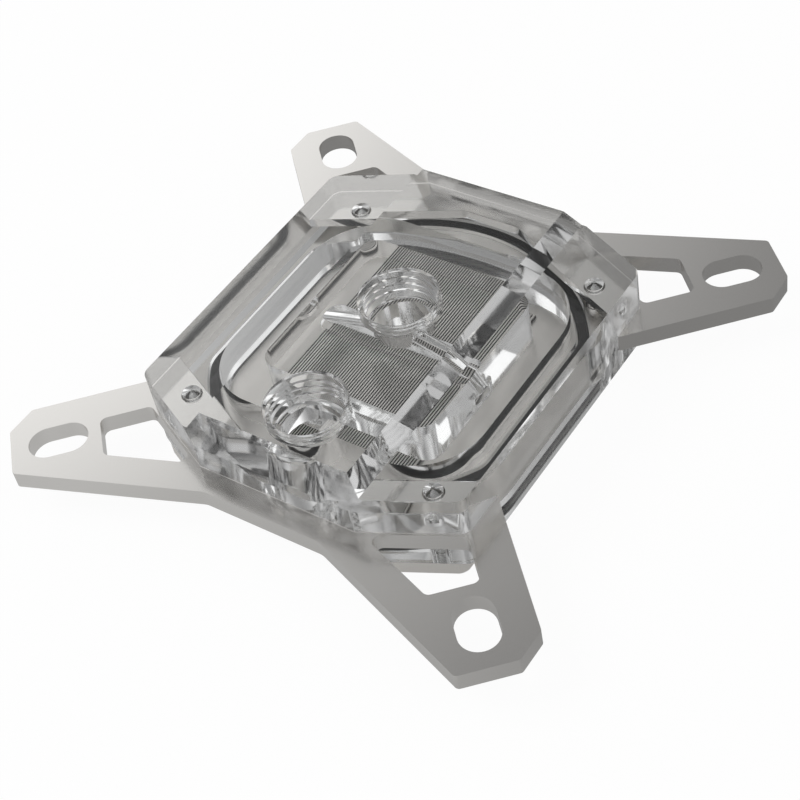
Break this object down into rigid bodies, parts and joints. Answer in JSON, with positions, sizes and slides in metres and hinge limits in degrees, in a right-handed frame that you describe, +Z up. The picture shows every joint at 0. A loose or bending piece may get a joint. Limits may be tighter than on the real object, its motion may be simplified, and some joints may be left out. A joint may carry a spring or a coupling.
{
  "type": "cpu water block",
  "caption": "Liquid-cooling block for a processor: clear machined top with threaded ports over a finned cold plate, held by a split mounting bracket with slotted arms.",
  "frame": {"origin": "centre of the footprint, on the underside of the cold plate", "axes": "+Z up, away from the processor. +Y along the two ports, from the outlet to the inlet. +X across them."},
  "size_m": [0.0944, 0.0948, 0.0192],
  "materials": {
    "clear_acrylic": "polished and clear",
    "plated_copper": "nickel plated",
    "black_rubber": "matt",
    "satin_nickel": "satin nickel over steel",
    "screw_steel": "plain steel"
  },
  "bodies": {
    "root": {"clear_top": "clear_acrylic", "cold_plate": "plated_copper", "body_o_ring": "black_rubber", "front_bracket": "satin_nickel", "rear_bracket": "satin_nickel", "plate_screws": "screw_steel"}
  },
  "joints": []
}
